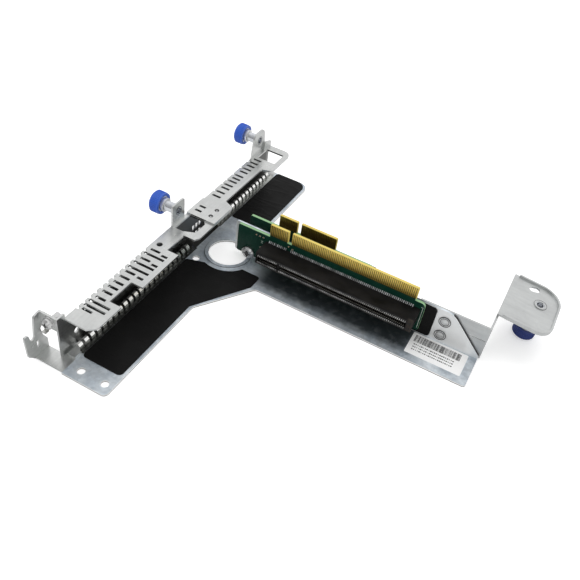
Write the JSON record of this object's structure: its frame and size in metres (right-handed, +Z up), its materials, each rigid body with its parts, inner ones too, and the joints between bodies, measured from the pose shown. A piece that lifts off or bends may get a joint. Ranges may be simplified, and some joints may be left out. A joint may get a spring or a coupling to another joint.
{
  "type": "pcie riser card",
  "caption": "Sheet metal riser cage for a flat server, with two edge finger boards, two card slots, slotted card bracket openings and captive thumbscrews.",
  "frame": {"origin": "underside of the cover plate, below the pin 1 end of the front board's contact row, in line with that board's component face", "axes": "+X along the boards towards the end tab, +Y from the front board towards the rear board, +Z up towards the edge fingers"},
  "size_m": [0.2108, 0.205, 0.0376],
  "materials": {
    "plated_steel": "satin",
    "spring_steel": "gloss",
    "black_film": "satin",
    "green_board": "gloss",
    "gold_plate": "gloss",
    "black_moulding": "matte",
    "tinned_leads": "gloss",
    "bright_steel": "gloss",
    "blue_plastic": "satin",
    "white_label": "matte"
  },
  "bodies": {
    "cage": {"cover_plate": "plated_steel", "end_bracket": "plated_steel", "front_bulkhead": "plated_steel", "rear_bulkhead": "plated_steel", "front_spring_strip": "spring_steel", "rear_spring_strip": "spring_steel", "front_film": "black_film", "rear_film": "black_film", "wall_film": "black_film", "front_board": "green_board", "rear_board": "green_board", "front_board_contacts": "gold_plate", "rear_board_contacts": "gold_plate", "front_slot": "black_moulding", "rear_slot": "black_moulding", "front_slot_contacts": "tinned_leads", "rear_slot_contacts": "tinned_leads", "front_board_screw": "bright_steel", "rear_board_standoffs": "bright_steel", "rear_board_screws": "bright_steel", "bracket_screw": "bright_steel", "bracket_clip": "spring_steel", "label": "white_label", "near_thumb_sleeve": "bright_steel", "far_thumb_sleeve": "bright_steel", "end_thumb_sleeve": "bright_steel"},
    "near_slider": {"near_thumb_collar": "bright_steel"},
    "near_turner": {"near_thumb_knob": "blue_plastic", "near_thumb_screw": "bright_steel"},
    "far_slider": {"far_thumb_collar": "bright_steel"},
    "far_turner": {"far_thumb_knob": "blue_plastic", "far_thumb_screw": "bright_steel"},
    "end_slider": {"end_thumb_collar": "bright_steel"},
    "end_turner": {"end_thumb_knob": "blue_plastic", "end_thumb_screw": "bright_steel"}
  },
  "joints": [
    {"name": "near_thumb_slide", "type": "slide", "parent": "cage", "child": "near_slider", "axis": [1, 0, 0], "range_m": [0, 0.0035]},
    {"name": "near_thumb_turn", "type": "hinge", "parent": "near_slider", "child": "near_turner", "pos_m": [-0.0463, -0.0183, 0.0297], "axis": [1, 0, 0], "continuous": true},
    {"name": "far_thumb_slide", "type": "slide", "parent": "cage", "child": "far_slider", "axis": [1, 0, 0], "range_m": [0, 0.0035]},
    {"name": "far_thumb_turn", "type": "hinge", "parent": "far_slider", "child": "far_turner", "pos_m": [-0.0463, 0.0666, 0.0312], "axis": [1, 0, 0], "continuous": true},
    {"name": "end_thumb_slide", "type": "slide", "parent": "cage", "child": "end_slider", "axis": [0.0872, 0, 0.9962], "range_m": [0, 0.0035]},
    {"name": "end_thumb_turn", "type": "hinge", "parent": "end_slider", "child": "end_turner", "pos_m": [0.13975, 0.0354, 0.02109], "axis": [0.0872, 0, 0.9962], "continuous": true}
  ]
}
